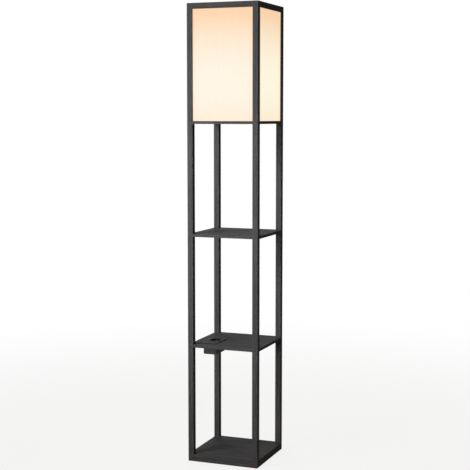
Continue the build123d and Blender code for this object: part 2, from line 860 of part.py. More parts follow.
with BuildPart() as socket_cup:
    with BuildSketch(profile_plane(module_x, socket_y, faceplate_top)):
        with BuildLine():
            Polyline(
                (0, -socket_depth - socket_floor),
                (socket_outer_radius, -socket_depth - socket_floor),
                (socket_outer_radius, 0),
                (socket_rim_radius, 0),
                (socket_rim_radius, socket_rim_height),
                (socket_radius, socket_rim_height),
                (socket_radius, -socket_depth),
                (0, -socket_depth),
                close=True,
            )
        make_face()
    revolve(axis=socket_axis)
    fillet(socket_cup.edges().group_by(Axis.Z)[-1], socket_rim_round)
    with BuildSketch(Plane((module_x, socket_y, socket_floor_top))):
        with GridLocations(2 * socket_radius + socket_wall - guide_rib_reach, 0, 2, 1):
            Rectangle(guide_rib_reach, guide_rib_width)
    extrude(amount=socket_depth - guide_rib_drop)
    with BuildSketch(Plane((module_x, socket_y, socket_floor_top))):
        with GridLocations(0, 2 * earth_reach, 1, 2):
            Rectangle(earth_width + earth_slot_gap, earth_thickness + 2 * earth_slot_gap)
        with GridLocations(pin_spacing, 0, 2, 1):
            Circle(pin_hole_radius)
    extrude(amount=-socket_floor, mode=Mode.SUBTRACT)
save(socket_cup, "socket_cup")

with BuildPart() as earth_bridge:
    with BuildSketch(Plane((module_x, socket_y, socket_floor_bottom), x_dir=(0, 1, 0), z_dir=(1, 0, 0))):
        with BuildLine():
            strip_top = socket_floor + earth_height
            FilletPolyline(
                (-earth_reach + earth_bulge / 2, strip_top),
                (-earth_reach + earth_bulge, strip_top - 2 * earth_bulge),
                (-earth_reach, strip_top - 4 * earth_bulge),
                (-earth_reach, -earth_thickness / 2),
                (earth_reach, -earth_thickness / 2),
                (earth_reach, strip_top - 4 * earth_bulge),
                (earth_reach - earth_bulge, strip_top - 2 * earth_bulge),
                (earth_reach - earth_bulge / 2, strip_top),
                radius=[earth_bend_radius] * 2 + [earth_fold_radius] * 2 + [earth_bend_radius] * 2,
            )
        trace(line_width=earth_thickness)
    extrude(amount=earth_width / 2, both=True)
save(earth_bridge, "earth_bridge")

with BuildPart() as pin_contacts:
    with BuildSketch(Plane((module_x, socket_y, socket_floor_bottom))):
        with GridLocations(pin_spacing, 0, 2, 1):
            Circle(pin_tube_radius)
            Circle(pin_tube_bore, mode=Mode.SUBTRACT)
    extrude(amount=-pin_tube_length)
save(pin_contacts, "pin_contacts")


# ---------------------------------------------------------------- charging module: USB ports

with BuildPart() as usb_shells:
    with BuildSketch(Plane.XY.offset(charger_top)):
        with Locations((usb_a_x, usb_y)):
            Rectangle(usb_a_width, usb_a_height)
            Rectangle(usb_a_width - 2 * usb_wall, usb_a_height - 2 * usb_wall, mode=Mode.SUBTRACT)
        with Locations((usb_c_x, usb_y)):
            SlotOverall(usb_c_width, usb_c_height)
            SlotOverall(usb_c_width - 2 * usb_wall, usb_c_height - 2 * usb_wall, mode=Mode.SUBTRACT)
    extrude(amount=usb_depth)
save(usb_shells, "usb_shells")

with BuildPart() as usb_tongues:
    with BuildSketch(Plane.XY.offset(charger_top)):
        with Locations((usb_a_x, usb_y + usb_a_tongue_shift)):
            Rectangle(usb_a_tongue_width, usb_a_tongue_thickness)
        with Locations((usb_c_x, usb_y)):
            Rectangle(usb_c_tongue_width, usb_c_tongue_thickness)
    extrude(amount=usb_tongue_length)
save(usb_tongues, "usb_tongues")

with BuildPart() as charger_board:
    with BuildSketch(Plane((module_x, charger_y, charger_top))):
        Rectangle(charger_width, charger_length)
    extrude(amount=-charger_thickness)
save(charger_board, "charger_board")

with BuildPart() as charger_components:
    with BuildSketch(Plane((module_x, charger_y, charger_top - charger_thickness))):
        Rectangle(transformer_width, transformer_length)
    extrude(amount=-transformer_height)
    with BuildSketch(Plane((module_x, charger_y, charger_top - charger_thickness))):
        with GridLocations(2 * capacitor_offset, 0, 2, 1):
            Circle(capacitor_radius)
    extrude(amount=-capacitor_height)
save(charger_components, "charger_components")
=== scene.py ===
# Shelf floor lamp: finishes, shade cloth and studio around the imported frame.
# Metres, +Z up, the front faces -Y. Colours are linear.
import math

import bmesh
import bpy
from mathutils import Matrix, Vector, noise


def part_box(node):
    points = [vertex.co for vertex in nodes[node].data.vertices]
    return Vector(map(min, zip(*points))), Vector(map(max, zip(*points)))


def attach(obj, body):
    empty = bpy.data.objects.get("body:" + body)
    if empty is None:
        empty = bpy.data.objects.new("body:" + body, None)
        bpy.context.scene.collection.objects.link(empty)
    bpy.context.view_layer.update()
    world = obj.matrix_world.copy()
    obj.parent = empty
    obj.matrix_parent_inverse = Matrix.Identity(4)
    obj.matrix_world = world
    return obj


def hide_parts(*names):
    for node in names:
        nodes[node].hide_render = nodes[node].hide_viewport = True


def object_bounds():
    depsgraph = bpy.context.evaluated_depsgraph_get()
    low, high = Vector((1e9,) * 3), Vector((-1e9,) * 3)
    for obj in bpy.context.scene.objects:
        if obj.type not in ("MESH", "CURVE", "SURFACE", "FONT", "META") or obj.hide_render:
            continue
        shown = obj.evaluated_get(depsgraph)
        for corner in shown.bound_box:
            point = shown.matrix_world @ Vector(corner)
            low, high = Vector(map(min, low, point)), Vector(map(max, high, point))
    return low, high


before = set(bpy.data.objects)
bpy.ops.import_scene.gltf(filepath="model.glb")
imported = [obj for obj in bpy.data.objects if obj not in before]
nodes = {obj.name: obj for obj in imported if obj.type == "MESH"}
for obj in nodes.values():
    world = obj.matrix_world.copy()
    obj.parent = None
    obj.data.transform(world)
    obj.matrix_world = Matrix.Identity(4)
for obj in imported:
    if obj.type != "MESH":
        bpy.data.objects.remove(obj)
cadLow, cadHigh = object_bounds()
print("frame loaded:", len(nodes), "nodes")

scene = bpy.context.scene
scene.view_settings.view_transform = "Standard"
cornerNames = ["front_left", "front_right", "back_right", "back_left"]
sideNames = ["front", "right", "back", "left"]
frontAndBack = ("front", "back")


# Camera at the photograph's angle

cameraLook = {
    "place": (1.4813, -3.7895, 1.2163),
    "tilt": 84.134,  # degrees from looking straight down
    "turn": 21.400,  # degrees from +Y towards -X
    "lens": 88.5,
    "sensor": 36.0,
}

cameraData = bpy.data.cameras.new("photoCamera")
cameraData.sensor_width = cameraLook["sensor"]
cameraData.lens = cameraLook["lens"]
photoCamera = bpy.data.objects.new("photoCamera", cameraData)
photoCamera.location = cameraLook["place"]
photoCamera.rotation_euler = (math.radians(cameraLook["tilt"]), 0, math.radians(cameraLook["turn"]))
scene.collection.objects.link(photoCamera)
scene.camera = photoCamera
print("camera placed")


# Node helpers

def put(tree, socket, value):
    if isinstance(value, bpy.types.NodeSocket):
        tree.links.new(value, socket)
    else:
        socket.default_value = value


def calc(tree, operation, first, second=0.0, clamp=False):
    node = tree.nodes.new("ShaderNodeMath")
    node.operation = operation
    node.use_clamp = clamp
    put(tree, node.inputs[0], first)
    put(tree, node.inputs[1], second)
    return node.outputs[0]


def vectorCalc(tree, operation, first, second=(0, 0, 0)):
    node = tree.nodes.new("ShaderNodeVectorMath")
    node.operation = operation
    put(tree, node.inputs[0], first)
    put(tree, node.inputs[1], second)
    return node.outputs["Value" if operation == "LENGTH" else "Vector"]


def ramp(tree, value, start, end, low=0.0, high=1.0):
    # A smooth step from low at start to high at end.
    node = tree.nodes.new("ShaderNodeMapRange")
    node.interpolation_type = "SMOOTHSTEP"
    for socket, setting in zip(node.inputs, (value, start, end, low, high)):
        put(tree, socket, setting)
    return node.outputs[0]


def blend(tree, factor, first, second, way="MIX"):
    node = tree.nodes.new("ShaderNodeMix")
    node.data_type = "RGBA"
    node.blend_type = way
    put(tree, node.inputs[0], factor)
    put(tree, node.inputs[6], first)  # 6, 7 and output 2 are the colour sockets
    put(tree, node.inputs[7], second)
    return node.outputs[2]


def split(tree, vector):
    node = tree.nodes.new("ShaderNodeSeparateXYZ")
    tree.links.new(vector, node.inputs[0])
    return node.outputs


def combine(tree, x, y, z):
    node = tree.nodes.new("ShaderNodeCombineXYZ")
    for socket, value in zip(node.inputs, (x, y, z)):
        put(tree, socket, value)
    return node.outputs[0]


def mottle(tree, vector, scale, detail=2.0, rough=0.5, warp=0.0):
    node = tree.nodes.new("ShaderNodeTexNoise")
    tree.links.new(vector, node.inputs["Vector"])
    put(tree, node.inputs["Scale"], scale)
    node.inputs["Detail"].default_value = detail
    node.inputs["Roughness"].default_value = rough
    node.inputs["Distortion"].default_value = warp
    return node.outputs["Fac"]


def colour(red, green, blue):
    return (red, green, blue, 1.0)


def newGroup(name, inputs, outputs):
    group = bpy.data.node_groups.new(name, "ShaderNodeTree")
    for label, kind, value in inputs:
        socket = group.interface.new_socket(name=label, in_out="INPUT", socket_type=kind)
        socket.default_value = value
    for label, kind in outputs:
        group.interface.new_socket(name=label, in_out="OUTPUT", socket_type=kind)
    source = group.nodes.new("NodeGroupInput").outputs
    target = group.nodes.new("NodeGroupOutput").inputs
    return group, source, target


def useGroup(tree, group, values):
    node = tree.nodes.new("ShaderNodeGroup")
    node.node_tree = group
    for label, value in values.items():
        put(tree, node.inputs[label], value)
    return node.outputs


number = "NodeSocketFloat"
vector = "NodeSocketVector"
positionInput = ("Position", vector, (0, 0, 0))


# Shared effects, each a node group

grainPrint = {
    "streaks": {"squeeze": 0.03, "detail": 2.0, "rough": 0.5, "range": (0.28, 0.72)},
    "fibres": {"squeeze": 0.02, "detail": 2.0, "rough": 0.6, "range": (0.30, 0.70)},
    "pores": {"squeeze": 0.06, "detail": 1.0, "rough": 0.5, "range": (0.60, 0.70)},
    "strayScales": (7.0, 5.0),
    "strayDetail": 1.0,
    "stray": 0.006,  # how far the grain wanders sideways
    "fibreHeight": 0.35,
}


def makeFoilGrain():
    # Printed wood grain that runs along the vector's z: soft streaks, fine fibres and short dark pores.
    group, source, target = newGroup(
        "foilGrain",
        [
            positionInput,
            ("Shift", vector, (0, 0, 0)),
            ("Streak", number, 0.006),
            ("Fibre", number, 0.0011),
            ("Pore", number, 0.0007),
        ],
        [("Streaks", number), ("Fibres", number), ("Pores", number), ("Height", number)],
    )
    moved = vectorCalc(group, "ADD", source["Position"], source["Shift"])
    x, y, z = split(group, moved)

    def strayed(part, scale):
        clouds = mottle(group, moved, scale, grainPrint["strayDetail"])
        return calc(group, "ADD", part, calc(group, "MULTIPLY", clouds, grainPrint["stray"]))

    def printed(size, look):
        lengthwise = combine(group, x, y, calc(group, "MULTIPLY", z, look["squeeze"]))
        spots = mottle(group, lengthwise, calc(group, "DIVIDE", 1.0, size), look["detail"], look["rough"])
        return ramp(group, spots, *look["range"])

    x = strayed(x, grainPrint["strayScales"][0])
    y = strayed(y, grainPrint["strayScales"][1])
    fibres = printed(source["Fibre"], grainPrint["fibres"])
    pores = printed(source["Pore"], grainPrint["pores"])
    put(group, target["Streaks"], printed(source["Streak"], grainPrint["streaks"]))
    put(group, target["Fibres"], fibres)
    put(group, target["Pores"], pores)
    raised = calc(group, "MULTIPLY", fibres, grainPrint["fibreHeight"])
    put(group, target["Height"], calc(group, "SUBTRACT", raised, pores))
    return group


wearRags = {"scale": 160.0, "detail": 3.0, "rough": 0.65, "reach": 1.7}


def makeEdgeWear():
    # 1 along the edges of a box, ragged, and 0 on its faces.
    group, source, target = newGroup(
        "edgeWear",
        [
            positionInput,
            ("Centre", vector, (0, 0, 0)),
            ("Half", vector, (1, 1, 1)),
            ("Width", number, 0.0010),
        ],
        [("Wear", number)],
    )
    away = vectorCalc(group, "SUBTRACT", source["Position"], source["Centre"])
    depth = vectorCalc(group, "SUBTRACT", source["Half"], vectorCalc(group, "ABSOLUTE", away))
    x, y, z = split(group, depth)
    nearer = calc(group, "MINIMUM", x, y)
    further = calc(group, "MAXIMUM", x, y)
    fromEdge = calc(group, "MAXIMUM", nearer, calc(group, "MINIMUM", further, z))
    rags = mottle(group, source["Position"], wearRags["scale"], wearRags["detail"], wearRags["rough"])
    reach = calc(group, "MULTIPLY", source["Width"], calc(group, "MULTIPLY", rags, wearRags["reach"]))
    put(group, target["Wear"], ramp(group, fromEdge, 0.0, reach, 1.0, 0.0))
    return group


weaveLook = {
    "crossing": (-0.3, 0.3),
    "wefts": (18, 1, 900),  # scale of the noise across, in depth and up
    "warps": (900, 1, 14),
    "bands": (75, 1, 2.5),
    "bandDetail": 3.0,
    "bandRough": 0.6,
    "bandRange": (0.3, 0.7),
    "threadHeight": 0.5,
}


def makeShadeWeave():
    # Plain linen weave: threads over and under, thicker slubs here and there, and faint upright bands.
    group, source, target = newGroup(
        "shadeWeave",
        [("Across", number, 0.0), ("Up", number, 0.0), ("Pitch", number, 0.0007)],
        [("Threads", number), ("Slubs", number), ("Bands", number), ("Height", number)],
    )
    turns = calc(group, "DIVIDE", math.pi, source["Pitch"])
    across = calc(group, "SINE", calc(group, "MULTIPLY", source["Across"], turns))
    up = calc(group, "SINE", calc(group, "MULTIPLY", source["Up"], turns))
    warp = calc(group, "ABSOLUTE", across)
    weft = calc(group, "ABSOLUTE", up)
    crossing = ramp(group, calc(group, "MULTIPLY", across, up), *weaveLook["crossing"])
    lifted = calc(group, "MULTIPLY", warp, crossing)
    passed = calc(group, "MULTIPLY", weft, calc(group, "SUBTRACT", 1.0, crossing))
    threads = calc(group, "ADD", lifted, passed)
    plane = combine(group, source["Across"], 0.0, source["Up"])
    wefts = mottle(group, vectorCalc(group, "MULTIPLY", plane, weaveLook["wefts"]), 1.0)
    warps = mottle(group, vectorCalc(group, "MULTIPLY", plane, weaveLook["warps"]), 1.0)
    slubs = calc(group, "MULTIPLY", calc(group, "ADD", wefts, warps), 0.5)
    upright = vectorCalc(group, "MULTIPLY", plane, weaveLook["bands"])
    bands = mottle(group, upright, 1.0, weaveLook["bandDetail"], weaveLook["bandRough"])
    put(group, target["Bands"], ramp(group, bands, *weaveLook["bandRange"]))
    put(group, target["Threads"], threads)
    put(group, target["Slubs"], slubs)
    raised = calc(group, "MULTIPLY", threads, weaveLook["threadHeight"])
    put(group, target["Height"], calc(group, "ADD", raised, slubs))
    return group


def makeLampGlow():
    # 0 beside the bulb, 1 at Reach above or below it, and up to Depth more beside the posts, where a shadow
    # of the posts is painted into the glow.
    group, source, target = newGroup(
        "lampGlow",
        [
            positionInput,
            ("Across", number, 0.0),
            ("Level", number, 1.3),
            ("Reach", number, 0.25),
            ("Half width", number, 0.11),
            ("Shadow", number, 0.012),
            ("Depth", number, 0.20),
        ],
        [("Falloff", number)],
    )
    height = split(group, source["Position"])[2]
    rise = calc(group, "DIVIDE", calc(group, "SUBTRACT", height, source["Level"]), source["Reach"])
    squared = calc(group, "MULTIPLY", rise, rise)
    toPost = calc(group, "SUBTRACT", source["Half width"], calc(group, "ABSOLUTE", source["Across"]))
    # painted shadow of the posts along the panel's edges
    paintedPostShadow = ramp(group, toPost, 0.0, source["Shadow"], source["Depth"], 0.0)
    put(group, target["Falloff"], calc(group, "ADD", squared, paintedPostShadow, clamp=True))
    return group


mouldLook = {
    "detail": 3.0,
    "rough": 0.7,
    "markScale": 45.0,
    "markRough": 0.6,
    "markWarp": 0.6,
    "markRange": (0.35, 0.75),
}


def makeMouldedSkin():
    # Fine sparked texture of an injection mould, with faint handling marks.
    look = mouldLook
    group, source, target = newGroup(
        "mouldedSkin",
        [positionInput, ("Grain", number, 0.0005)],
        [("Speckle", number), ("Marks", number)],
    )
    place = source["Position"]
    speckle = mottle(group, place, calc(group, "DIVIDE", 1.0, source["Grain"]), look["detail"], look["rough"])
    marks = mottle(group, place, look["markScale"], look["detail"], look["markRough"], look["markWarp"])
    put(group, target["Speckle"], speckle)
    put(group, target["Marks"], ramp(group, marks, *look["markRange"]))
    return group


platingLook = {
    "turned": (0.05, 0.05, 1.0),  # draws the marks out round a vertical axis
    "lineDetail": 2.0,
    "lineRough": 0.6,
    "scale": 260.0,
    "detail": 4.0,
    "rough": 0.65,
    "warp": 0.4,
    "range": (0.40, 0.70),
}


def makeMetalFinish():
    # Fine turning marks, and blotches of dull plating.
    look = platingLook
    group, source, target = newGroup(
        "metalFinish",
        [positionInput, ("Mark", number, 0.0003)],
        [("Lines", number), ("Blotches", number)],
    )
    place = source["Position"]
    stretched = vectorCalc(group, "MULTIPLY", place, look["turned"])
    scale = calc(group, "DIVIDE", 1.0, source["Mark"])
    blotches = mottle(group, place, look["scale"], look["detail"], look["rough"], look["warp"])
    put(group, target["Lines"], mottle(group, stretched, scale, look["lineDetail"], look["lineRough"]))
    put(group, target["Blotches"], ramp(group, blotches, *look["range"]))
    return group


dustLook = {
    "level": (0.75, 1.0),  # the normal's z where dust begins, and where it lies in full
    "scale": 22.0,
    "detail": 5.0,
    "rough": 0.7,
    "range": (0.30, 0.75),
    "cover": (0.3, 1.0),
}


def makeSettledDust():
    # A thin film on faces that look up.
    look = dustLook
    group, source, target = newGroup(
        "settledDust",
        [positionInput, ("Normal", vector, (0, 0, 1)), ("Amount", number, 0.05)],
        [("Dust", number)],
    )
    upward = ramp(group, split(group, source["Normal"])[2], *look["level"])
    clouds = mottle(group, source["Position"], look["scale"], look["detail"], look["rough"])
    film = calc(group, "MULTIPLY", upward, ramp(group, clouds, *look["range"], *look["cover"]))
    put(group, target["Dust"], calc(group, "MULTIPLY", film, source["Amount"]))
    return group


foilGrain = makeFoilGrain()
edgeWear = makeEdgeWear()
shadeWeave = makeShadeWeave()
lampGlow = makeLampGlow()
mouldedSkin = makeMouldedSkin()
metalFinish = makeMetalFinish()
settledDust = makeSettledDust()
print("node groups made")


# Materials

def newMaterial(name, plain):
    # plain holds the values that are the same all over the surface.
    material = bpy.data.materials.new(name)
    material.use_nodes = True
    tree = material.node_tree
    shader = tree.nodes["Principled BSDF"].inputs
    for label, value in plain.items():
        shader[label].default_value = value
    material.diffuse_color = shader["Base Color"].default_value
    return material, tree, shader


def surface(tree):
    place = tree.nodes.new("ShaderNodeTexCoord").outputs["Object"]
    facing = tree.nodes.new("ShaderNodeNewGeometry").outputs["True Normal"]
    return place, facing


def bump(tree, shader, height, strength, depth):
    node = tree.nodes.new("ShaderNodeBump")
    node.inputs["Strength"].default_value = strength
    node.inputs["Distance"].default_value = depth
    tree.links.new(height, node.inputs["Height"])
    tree.links.new(node.outputs["Normal"], shader["Normal"])


def dress(name, material):
    for place in nodes[name].material_slots:
        place.material = material


foil = {
    "deep": colour(0.078, 0.077, 0.078),
    "pale": colour(0.108, 0.106, 0.107),
    "fibre": colour(0.700, 0.690, 0.690),
    "pore": colour(0.024, 0.023, 0.023),
    "worn": colour(0.150, 0.138, 0.128),
    "dust": colour(0.330, 0.315, 0.295),
    "poreShare": 0.45,
    "wearShare": 0.35,
    "wearWidth": 0.0008,
    "streakSize": 0.0060,
    "fibreSize": 0.0010,
    "poreSize": 0.00060,
    "dustAmount": 0.045,
    "dustDulling": 1.5,
    "roughness": (0.60, 0.76),
    "gloss": 0.003,
    "bump": 0.25,
    "bumpDepth": 0.00012,
    "shift": (0.37, 0.23, 0.91),  # from one piece to the next, so that no two show the same print
}


def grainAlong(tree, place, facing, along):
    x, y, z = split(tree, place)
    if along == "z":
        return place
    if along == "y":
        return combine(tree, x, z, y)
    # A board's grain runs along x, and the banding on its left and right edges along y.
    node = tree.nodes.new("ShaderNodeMix")
    node.data_type = "VECTOR"
    sideways = calc(tree, "ABSOLUTE", split(tree, facing)[0])
    put(tree, node.inputs[0], calc(tree, "GREATER_THAN", sideways, 0.5))
    put(tree, node.inputs[4], combine(tree, y, z, x))  # 4, 5 and output 1 are the vector sockets
    put(tree, node.inputs[5], combine(tree, x, z, y))
    return node.outputs[1]


def dustOn(tree, place, facing, amount):
    film = {"Position": place, "Normal": facing, "Amount": amount}
    return useGroup(tree, settledDust, film)["Dust"]


def foilMaterial(name, low, high, along, shift):
    plain = {"Base Color": foil["pale"], "Specular IOR Level": foil["gloss"]}
    material, tree, shader = newMaterial(name, plain)
    place, facing = surface(tree)
    grain = useGroup(tree, foilGrain, {
        "Position": grainAlong(tree, place, facing, along),
        "Shift": shift,
        "Streak": foil["streakSize"],
        "Fibre": foil["fibreSize"],
        "Pore": foil["poreSize"],
    })
    wear = useGroup(tree, edgeWear, {
        "Position": place,
        "Centre": (low + high) / 2,
        "Half": (high - low) / 2,
        "Width": foil["wearWidth"],
    })["Wear"]
    dust = dustOn(tree, place, facing, foil["dustAmount"])
    tone = blend(tree, grain["Streaks"], foil["deep"], foil["pale"])
    tone = blend(tree, grain["Fibres"], tone, foil["fibre"], "MULTIPLY")
    tone = blend(tree, calc(tree, "MULTIPLY", grain["Pores"], foil["poreShare"]), tone, foil["pore"])
    tone = blend(tree, calc(tree, "MULTIPLY", wear, foil["wearShare"]), tone, foil["worn"])
    put(tree, shader["Base Color"], blend(tree, dust, tone, foil["dust"]))
    rough = ramp(tree, grain["Fibres"], 0.0, 1.0, *foil["roughness"])
    dulling = calc(tree, "MULTIPLY", dust, foil["dustDulling"])
    put(tree, shader["Roughness"], calc(tree, "ADD", rough, dulling, clamp=True))
    bump(tree, shader, grain["Height"], foil["bump"], foil["bumpDepth"])
    return material


def dressFrame():
    pieces = {f"{corner}_post_{tier}": "z" for corner in cornerNames for tier in range(1, 5)}
    pieces.update({f"{side}_top_rail": "x" if side in frontAndBack else "y" for side in sideNames})
    pieces.update({board: "x" for board in ("base_board", "lower_shelf", "upper_shelf", "shade_board")})
    for count, (name, along) in enumerate(pieces.items()):
        low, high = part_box(name)
        shift = [step * count for step in foil["shift"]]
        dress(name, foilMaterial(name + "_foil", low, high, along, shift))
    print("frame dressed:", len(pieces), "pieces")


dressFrame()


# Shade: fabric outside, translucent liner inside, both in the place of each CAD panel

shade = {
    "fabric": 0.00050,
    "liner": 0.00065,
    "gap": 0.00005,
    "ripple": 0.00012,
    "rippleSize": 7.0,
    "acrossSteps": 44,
    "upSteps": 72,
    "glowLevel": 1.328,
    "glowReach": 0.232,
    "postShadow": 0.026,
    "near": colour(0.908, 0.803, 0.678),  # the glow beside the bulb, on the front and the back
    "far": colour(0.880, 0.585, 0.360),  # and at the top and the bottom
    # the glow on the left and right panels: painted light, set brighter than on the front and back to make up
    # for the key light that falls on the front panel and not on the side ones
    "sideNear": colour(0.978, 0.905, 0.728),
    "sideFar": colour(0.925, 0.645, 0.405),
    "insideNear": colour(1.000, 0.905, 0.730),
    "insideFar": colour(0.960, 0.640, 0.370),
    "cloth": colour(0.105, 0.095, 0.080),
    "slub": colour(0.140, 0.130, 0.110),
    "roughness": 0.9,
    "gloss": 0.1,
    "pitch": 0.0009,
    "slubRange": (0.3, 0.7),
    "slubShare": 0.030,
    "threadShare": 0.035,
    "threadMean": 0.7,
    "bandShare": 0.022,
    "light": 1.0,
    "bump": 0.3,
    "bumpDepth": 0.0002,
    "sharpAngle": 40,
}


def shadeShell(name, side, low, high, outside, thickness, ripple):
    # A closed sheet. depth runs inwards from the panel's outer face.
    bm = bmesh.new()
    wide = 0 if side in frontAndBack else 1
    deep = 1 - wide
    outward = -1 if side in ("front", "left") else 1
    face = low[deep] if outward < 0 else high[deep]
    acrossSteps, upSteps = shade["acrossSteps"], shade["upSteps"]

    def corner(i, j, depth):
        point = Vector((0, 0, 0))
        point[wide] = low[wide] + (high[wide] - low[wide]) * i / acrossSteps
        point.z = low.z + (high.z - low.z) * j / upSteps
        spot = Vector((point[wide], sideNames.index(side), point.z)) * shade["rippleSize"]
        wave = 0.5 + 0.5 * noise.noise(spot)
        point[deep] = face - outward * (depth + ripple * wave)
        return bm.verts.new(point)

    def layer(depth):
        return [[corner(i, j, depth) for i in range(acrossSteps + 1)] for j in range(upSteps + 1)]

    outer = layer(outside)
    inner = layer(outside + thickness)
    for rows in (outer, inner):
        for lower, upper in zip(rows, rows[1:]):
            for i in range(acrossSteps):
                bm.faces.new((lower[i], lower[i + 1], upper[i + 1], upper[i]))
    rims = [
        ([row[0] for row in outer], [row[0] for row in inner]),
        ([row[-1] for row in outer], [row[-1] for row in inner]),
        (outer[0], inner[0]),
        (outer[-1], inner[-1]),
    ]
    for first, second in rims:
        for k in range(len(first) - 1):
            bm.faces.new((first[k], first[k + 1], second[k + 1], second[k]))
    bmesh.ops.recalc_face_normals(bm, faces=bm.faces)
    mesh = bpy.data.meshes.new(name)
    bm.to_mesh(mesh)
    bm.free()
    for polygon in mesh.polygons:
        polygon.use_smooth = True
    mesh.set_sharp_from_angle(angle=math.radians(shade["sharpAngle"]))
    piece = bpy.data.objects.new(name, mesh)
    scene.collection.objects.link(piece)
    return piece


def shadeMaterial(name, side, near, far):
    material, tree, shader = newMaterial(name, {
        "Base Color": shade["cloth"],
        "Roughness": shade["roughness"],
        "Specular IOR Level": shade["gloss"],
        "Emission Strength": shade["light"],
    })
    place = surface(tree)[0]
    x, y, z = split(tree, place)
    across = x if side in frontAndBack else y
    weave = useGroup(tree, shadeWeave, {"Across": across, "Up": z, "Pitch": shade["pitch"]})
    falloff = useGroup(tree, lampGlow, {
        "Position": place,
        "Across": across,
        "Level": shade["glowLevel"],
        "Reach": shade["glowReach"],
        "Shadow": shade["postShadow"],
    })["Falloff"]
    glow = blend(tree, falloff, near, far)
    share = shade["slubShare"]
    lit = calc(tree, "ADD", ramp(tree, weave["Slubs"], *shade["slubRange"], -share, share), 1.0)
    lit = calc(tree, "ADD", lit, calc(tree, "MULTIPLY", weave["Threads"], shade["threadShare"]))
    lit = calc(tree, "SUBTRACT", lit, shade["threadShare"] * shade["threadMean"])
    lit = calc(tree, "SUBTRACT", lit, calc(tree, "MULTIPLY", weave["Bands"], shade["bandShare"]))
    put(tree, shader["Emission Color"], blend(tree, 1.0, glow, combine(tree, lit, lit, lit), "MULTIPLY"))
    put(tree, shader["Base Color"], blend(tree, weave["Slubs"], shade["cloth"], shade["slub"]))
    bump(tree, shader, weave["Height"], shade["bump"], shade["bumpDepth"])
    return material


def makeShade():
    fabricDepth = shade["fabric"] - shade["ripple"]
    linerStart = shade["fabric"] + shade["gap"]
    for side in sideNames:
        low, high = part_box(f"{side}_shade_panel")
        wide = 0 if side in frontAndBack else 1
        near, far = ("near", "far") if wide == 0 else ("sideNear", "sideFar")
        fabric = shadeShell(f"{side}_shade_fabric", side, low, high, 0.0, fabricDepth, shade["ripple"])
        liner = shadeShell(f"{side}_shade_liner", side, low, high, linerStart, shade["liner"], 0.0)
        fabric.data.materials.append(shadeMaterial(f"{side}_fabric", side, shade[near], shade[far]))
        inside = shadeMaterial(f"{side}_liner", side, shade["insideNear"], shade["insideFar"])
        liner.data.materials.append(inside)
        for piece in (fabric, liner):
            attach(piece, "root")
            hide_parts(f"{side}_shade_panel")
    print("shade made")


makeShade()


# Plastics

plastics = {
    "module": {
        "tone": colour(0.026, 0.026, 0.027),
        "grain": 0.0006,
        "roughness": (0.52, 0.66),
        "gloss": 0.015,
    },
    # painted light: the housing is the faceplate's black plastic made about three times lighter, standing in
    # for light that reaches it under the shelf
    "housing": {
        "tone": colour(0.078, 0.078, 0.075),
        "grain": 0.0008,
        "roughness": (0.55, 0.70),
        "gloss": 0.03,
    },
    "socket": {
        "tone": colour(0.012, 0.012, 0.014),
        "grain": 0.0004,
        "roughness": (0.45, 0.58),
        "gloss": 0.03,
    },
    "usb": {
        "tone": colour(0.020, 0.020, 0.021),
        "grain": 0.0003,
        "roughness": (0.40, 0.55),
        "gloss": 0.10,
    },
    "holder": {
        "tone": colour(0.022, 0.021, 0.020),
        "grain": 0.0005,
        "roughness": (0.28, 0.42),
        "gloss": 0.50,
    },
    "core": {
        "tone": colour(0.620, 0.590, 0.520),
        "grain": 0.0006,
        "roughness": (0.35, 0.55),
        "gloss": 0.50,
    },
    "bulbBody": {
        "tone": colour(0.760, 0.750, 0.730),
        "grain": 0.0004,
        "roughness": (0.30, 0.42),
        "gloss": 0.50,
    },
    "glass": {
        "tone": colour(0.012, 0.011, 0.013),
        "grain": 0.0002,
        "roughness": (0.10, 0.18),
        "gloss": 0.60,
    },
    "component": {
        "tone": colour(0.026, 0.026, 0.030),
        "grain": 0.0004,
        "roughness": (0.38, 0.55),
        "gloss": 0.45,
    },
    "rubber": {
        "tone": colour(0.014, 0.014, 0.014),
        "grain": 0.0009,
        "roughness": (0.72, 0.86),
        "gloss": 0.25,
    },
}
plasticSkin = {"lighter": 1.35, "dustAmount": 0.03, "bump": 0.15, "bumpDepth": 0.00008}


def plasticMaterial(name, look):
    plain = {"Base Color": look["tone"], "Specular IOR Level": look["gloss"]}
    material, tree, shader = newMaterial(name, plain)
    place, facing = surface(tree)
    skin = useGroup(tree, mouldedSkin, {"Position": place, "Grain": look["grain"]})
    dust = dustOn(tree, place, facing, plasticSkin["dustAmount"])
    lighter = colour(*(min(1.0, part * plasticSkin["lighter"]) for part in look["tone"][:3]))
    tone = blend(tree, skin["Speckle"], look["tone"], lighter)
    put(tree, shader["Base Color"], blend(tree, dust, tone, foil["dust"]))
    put(tree, shader["Roughness"], ramp(tree, skin["Marks"], 0.0, 1.0, *look["roughness"]))
    bump(tree, shader, skin["Speckle"], plasticSkin["bump"], plasticSkin["bumpDepth"])
    return material


# Metals

